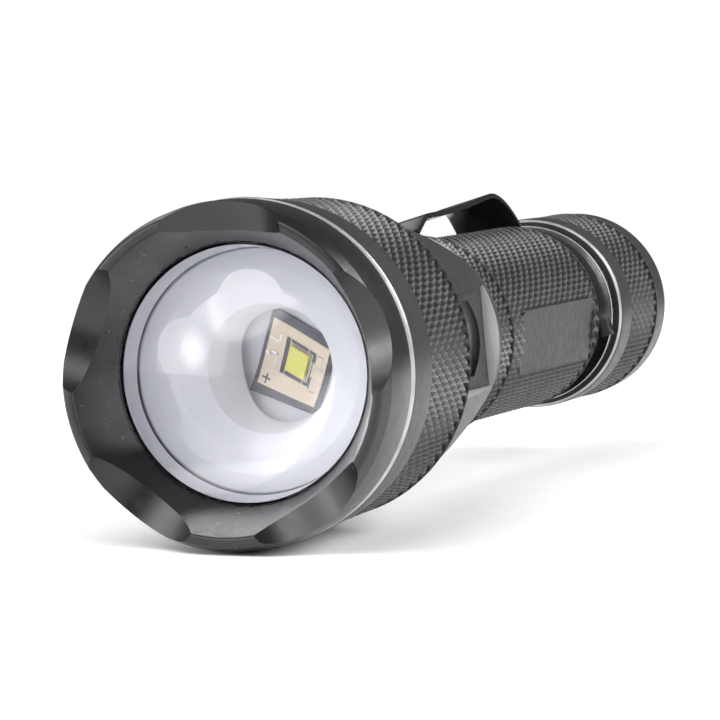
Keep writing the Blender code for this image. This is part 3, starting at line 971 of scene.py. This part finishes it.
def make_tube():
    """The knurled battery tube."""
    start, end, radius = span("body_tube")
    grip = Knurl(76.95, 117.4, 12.55, TUBE_KNURL)
    tube = turned("battery_tube", tube_outline(grip, start, end, radius), grip.columns, knurl=grip)
    add_panel(tube)
    finish(tube, "body", "anodised", ANODISED, "body_tube")
    # The knurl gets painted shade in its grooves and a painted highlight on its crests
    paint(tube, KNURLED_PAINTED_SHADE_AND_HIGHLIGHT, grip.start, grip.end, 12.0)
    # Painted shade: the flat panel gets the darker copy of the anodise
    paint(tube, PANEL_PAINTED_SHADE, *PANEL_SPAN, 11.5, faces_panel_way)
    # Painted shade: the clip groove, collar and thread behind the knurl are made near-black
    paint(tube, PAINTED_SHADE_BLACK, 117.8, end, 9.8)
    # Painted highlight: the collar's outer edge and the tube's front edge are made light grey
    paint(tube, PAINTED_HIGHLIGHT_EDGE, *COLLAR_EDGE, 12.3)
    paint(tube, PAINTED_HIGHLIGHT_EDGE, start, start + 0.22, 12.1)


def strip(name, line, thickness, place):
    """A bent strip of sheet. line holds (station, height, reach to the near side, to the far side)."""
    points, faces = [], []
    last = len(line) - 1
    for i, (station, height, near, far) in enumerate(line):
        before, after = line[max(i - 1, 0)], line[min(i + 1, last)]
        along = Vector((after[0] - before[0], after[1] - before[1])).normalized()
        across = Vector((-along.y, along.x)) * thickness / 2
        for side in (1, -1):
            for y in (-far, near):
                x = height + side * across.y
                z = station + side * across.x
                points.append(place @ Vector((x * MM, y * MM, z * MM)))
    for i in range(last):
        a, b = 4 * i, 4 * (i + 1)
        for first, second in ((0, 1), (1, 3), (3, 2), (2, 0)):
            faces.append([a + first, a + second, b + second, b + first])
    faces += [[0, 2, 3, 1], [4 * last, 4 * last + 1, 4 * last + 3, 4 * last + 2]]
    return mesh_object(name, points, faces)


def smooth_line(points, steps):
    """A Catmull-Rom curve through points of any size, with this many steps between each two."""
    knots = [np.array(point) for point in points]
    knots = [2 * knots[0] - knots[1], *knots, 2 * knots[-1] - knots[-2]]
    line = []
    for a, b, c, d in zip(knots, knots[1:], knots[2:], knots[3:]):
        for i in range(steps):
            t = i / steps
            value = 2 * b + (c - a) * t
            value = value + (2 * a - 5 * b + 4 * c - d) * t**2
            value = value + (3 * b - a - 3 * c + d) * t**3
            line.append(0.5 * value)
    line.append(knots[-2])
    return [tuple(point) for point in line]


def make_clip_band():
    """The clip's C-shaped band, whose two ends curl out of the groove."""
    start, end = CLIP_BAND_SPAN
    inner, outer = CLIP_BAND_RADII
    corners = [(start, inner), (start, outer), (end, outer), (end, inner)]
    gap = 360.0 - CLIP_WRAP
    columns = 144
    curled = 7
    points, faces = [], []
    for i in range(columns + 1):
        degrees = CLIP_DEG + 180.0 + gap / 2 + CLIP_WRAP * i / columns
        from_end = min(i, columns - i, curled)
        lift = 0.75 * (1 - from_end / curled) ** 2
        for station, radius in corners:
            points.append(at(station, radius + lift, degrees))
    for i in range(columns):
        a, b = 4 * i, 4 * (i + 1)
        for k in range(4):
            faces.append([a + k, a + (k + 1) % 4, b + (k + 1) % 4, b + k])
    faces += [[3, 2, 1, 0], [4 * columns + k for k in range(4)]]
    return mesh_object("clip_band", points, faces)


def make_clip_arm():
    """The clip's sprung arm, from its root at the band to its raised tip."""
    side = CLIP_HALF_WIDTH
    line = [
        (123.6, 12.0, side, 5.6),
        (123.0, 12.6, side, 5.6),
        (121.7, 14.0, side, 5.5),
        (119.8, 15.4, side, 5.2),
        (117.6, 16.35, side, 4.8),
        (115.4, 16.8, side, 4.4),
        (113.0, 16.8, side, 4.0),
        (107.2, 16.35, side, 3.4),
        (101.9, 15.95, side, side),
        (97.2, 15.68, side, side),
        (91.8, 15.45, side, side),
        (85.0, 15.3, side, side),
        (83.6, 15.2, side, side),
        (82.2, 14.8, side, side),
        (78.2, 13.2, side - 0.1, side - 0.1),
    ]
    return strip("clip_arm", smooth_line(line, 5), CLIP_SHEET, radial(CLIP_DEG, 0.0))


def make_clip():
    """The pocket clip: band and arm in one, with a small window near the tip."""
    clip = make_clip_band()
    cut(clip, [make_clip_arm()], "UNION")
    place = radial(CLIP_DEG, CLIP_WINDOW_MIDDLE) @ Matrix.Translation((13.5 * MM, 0.0, 0.0))
    size = (CLIP_WINDOW_HALF_LENGTH, CLIP_WINDOW_HALF_WIDTH, CLIP_WINDOW_CORNER)
    cut(clip, [rounded_plate("clip_window", *size, 4.0, place)])
    soften_edges(clip, 0.14)
    clip.name = "clip"
    finish(clip, "clip", "black_steel", BLACK_STEEL, "pocket_clip")


# ---------------------------------------------------------------- tail


def make_tail_cap():
    """The knurled cap, with an opening for the button at the back."""
    start, end, radius = span("tail_cap")
    grip = Knurl(131.8, 145.5, 13.25, TAIL_KNURL)
    outline = [(start, 12.9), (start + 0.25, 13.2), (start + 0.5, 13.3), (start + 0.9, 13.32)]
    outline += [(s, radius) for s in grip.rows()]
    outline += [(145.7, 13.25), (146.2, 13.12), (146.5, 13.1), (150.2, 13.1), (150.6, 12.9)]
    outline += [(end, 12.4), (end, 8.7), (end - 0.15, 8.4), (end - 0.4, 8.2), (148.6, 8.2)]
    outline += [(148.6, 11.2), (134.1, 11.2), (134.1, 11.7), (129.9, 11.7), (129.9, 12.2), (start, 12.2)]
    cap = turned("end_cap", outline, grip.columns, knurl=grip)
    finish(cap, "tail_cap", "anodised", ANODISED, "tail_cap")
    # The knurl gets painted shade in its grooves and a painted highlight on its crests
    paint(cap, KNURLED_PAINTED_SHADE_AND_HIGHLIGHT, grip.start, grip.end, 12.6)
    # Painted highlight: the cap's front and rear edges are made light grey
    paint(cap, PAINTED_HIGHLIGHT_EDGE, start, start + 0.25, 12.9)
    paint(cap, PAINTED_HIGHLIGHT_EDGE, *TAIL_EDGE, 13.0)


def make_switch():
    """The slotted ring that holds the switch in, the ring round the switch, and its plunger."""
    keeper = make_ring(
        "tail_retaining_ring", "keeper_ring", 7.6, "tail_cap", "bare_aluminium", BARE, columns=96
    )
    cut(keeper, [box_mesh("keeper_slot", (-12.0, -0.8, 133.0), (12.0, 0.8, 135.2), radial(0.0, 0.0))])
    make_ring("switch_housing", "switch_ring", 6.9, "tail_cap", "black_plastic", BLACK_PLASTIC)
    make_disc("switch_plunger", "plunger", "button", "black_plastic", BLACK_PLASTIC)


def make_boot():
    """The rubber button cover, with a flange and a rippled middle."""
    outline = [(149.5, 0.0), (149.3, 5.0), (148.7, 6.6), (147.0, 6.8), (147.0, 10.7), (148.3, 10.7)]
    outline += [(148.3, BOOT_NECK), (149.4, BOOT_NECK), (150.1, 7.0)]
    ripples = 5
    for i in range(ripples):
        radius = 6.4 - i * 1.1
        top = 150.62 - 0.006 * radius**2
        outline += [(top, radius + 0.3), (top + 0.08, radius)]
        outline += [(top, radius - 0.3), (top - 0.06, radius - 0.55)]
    outline += [(150.6, 0.0)]
    boot = turned("rubber_button", outline, columns=96, closed=False)
    boot.data.materials.append(RUBBER)
    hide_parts("switch_boot")
    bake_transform(boot)


# ---------------------------------------------------------------- studio


def glow(tree, distance, outer, inner, strength):
    """A strength that rises smoothly from nothing at the outer distance to its full value at the inner."""
    fade = tree.nodes.new("ShaderNodeMapRange")
    fade.interpolation_type = "SMOOTHSTEP"
    for key, value in (("From Min", outer), ("From Max", inner), ("To Min", 0.0), ("To Max", strength)):
        fade.inputs[key].default_value = value
    tree.links.new(distance, fade.inputs["Value"])
    return fade.outputs["Result"]


def area_light(name, place, size, radiance, hot=0.0):
    """A softbox aimed at the part, whose edges fade. Its very middle is brighter by hot."""
    light = bpy.data.lights.new(name, "AREA")
    light.shape = "RECTANGLE"
    light.size, light.size_y = size
    light.energy = math.pi * size[0] * size[1]
    light.use_nodes = True
    tree = light.node_tree
    across = tree.nodes.new("ShaderNodeNewGeometry").outputs["Parametric"]
    from_middle = tree.nodes.new("ShaderNodeVectorMath")
    from_middle.operation = "DISTANCE"
    from_middle.inputs[1].default_value = (0.5, 0.5, 0.0)
    tree.links.new(across, from_middle.inputs[0])
    distance = from_middle.outputs["Value"]
    total = tree.nodes.new("ShaderNodeMath")
    tree.links.new(glow(tree, distance, 0.5, 0.36, radiance), total.inputs[0])
    tree.links.new(glow(tree, distance, 0.2, 0.02, hot), total.inputs[1])
    tree.links.new(total.outputs["Value"], tree.nodes["Emission"].inputs["Strength"])
    made = bpy.data.objects.new(name, light)
    made.location = place
    made.rotation_euler = (-Vector(place)).to_track_quat("-Z", "Y").to_euler()
    bpy.context.scene.collection.objects.link(made)


def make_world():
    """White behind the part, and a dim room in what the part reflects."""
    world = bpy.data.worlds.new("studio")
    world.use_nodes = True
    tree = world.node_tree
    room = tree.nodes["Background"]
    room.inputs["Color"].default_value = (1.0, 1.0, 1.0, 1.0)
    room.inputs["Strength"].default_value = ROOM_BRIGHTNESS
    paper = tree.nodes.new("ShaderNodeBackground")
    paper.inputs["Color"].default_value = (1.0, 1.0, 1.0, 1.0)
    seen = tree.nodes.new("ShaderNodeLightPath")
    mix = tree.nodes.new("ShaderNodeMixShader")
    tree.links.new(seen.outputs["Is Camera Ray"], mix.inputs["Fac"])
    tree.links.new(room.outputs["Background"], mix.inputs[1])
    tree.links.new(paper.outputs["Background"], mix.inputs[2])
    tree.links.new(mix.outputs["Shader"], tree.nodes["World Output"].inputs["Surface"])
    bpy.context.scene.world = world


def make_floor():
    """A round sheet of pale paper under the part."""
    place = Matrix.Translation((0.0, 0.0, CAD_BOX[0].z - FLOOR_THICKNESS / 2 * MM))
    disc = rod("floor", FLOOR_RADIUS, FLOOR_THICKNESS, place, 256)
    paper = moulded("paper", (0.93, 0.93, 0.93), (0.95, 0.95, 0.95), (0.8, 0.9), depth=0.0)
    disc.data.materials.append(paper)


def make_camera():
    """A long lens, from low in front and to the right."""
    camera = bpy.data.objects.new("camera", bpy.data.cameras.new("camera"))
    camera.data.lens = CAMERA_LENS
    camera.data.clip_start = 0.01
    camera.location = at(0.0, 0.0, 0.0) + Vector(CAMERA_FROM_LIP) * MM
    camera.rotation_euler = (math.radians(90.0 - CAMERA_DROP), 0.0, math.radians(CAMERA_TURN))
    bpy.context.scene.collection.objects.link(camera)
    bpy.context.scene.camera = camera


def make_studio():
    """World, floor, camera and lights, with colours shown as they are."""
    bpy.context.scene.view_settings.view_transform = "Standard"
    make_world()
    make_floor()
    make_camera()
    area_light("left_light", (-0.80, -0.62, 0.25), (1.6, 1.6), 2.7, hot=8.0)
    area_light("front_light", (-0.2, -0.8, 1.0), (1.6, 1.2), 5.0)
    area_light("top_light", (0.74, 0.30, 0.50), (0.7, 0.7), 12.0)
    area_light("right_light", (0.8, -0.3, 0.2), (0.5, 0.8), 2.0)
    area_light("back_light", (-0.55, 0.6, 0.5), (0.5, 0.5), 1.6)


make_bezel()
make_lens()
make_head_sleeve()
make_neck()
make_led()
make_die()
make_led_spacer()
make_inner_parts()
make_tube()
make_clip()
make_tail_cap()
make_switch()
make_boot()
carry_over(
    {
        "lead_wire_black": BLACK_PLASTIC,
        "lead_wire_red": RED_SLEEVE,
        "driver_inductor": BLACK_PLASTIC,
        "driver_spring": BRIGHT_STEEL,
        "tail_spring": BRIGHT_STEEL,
        "switch_case": WHITE,
    }
)
make_studio()
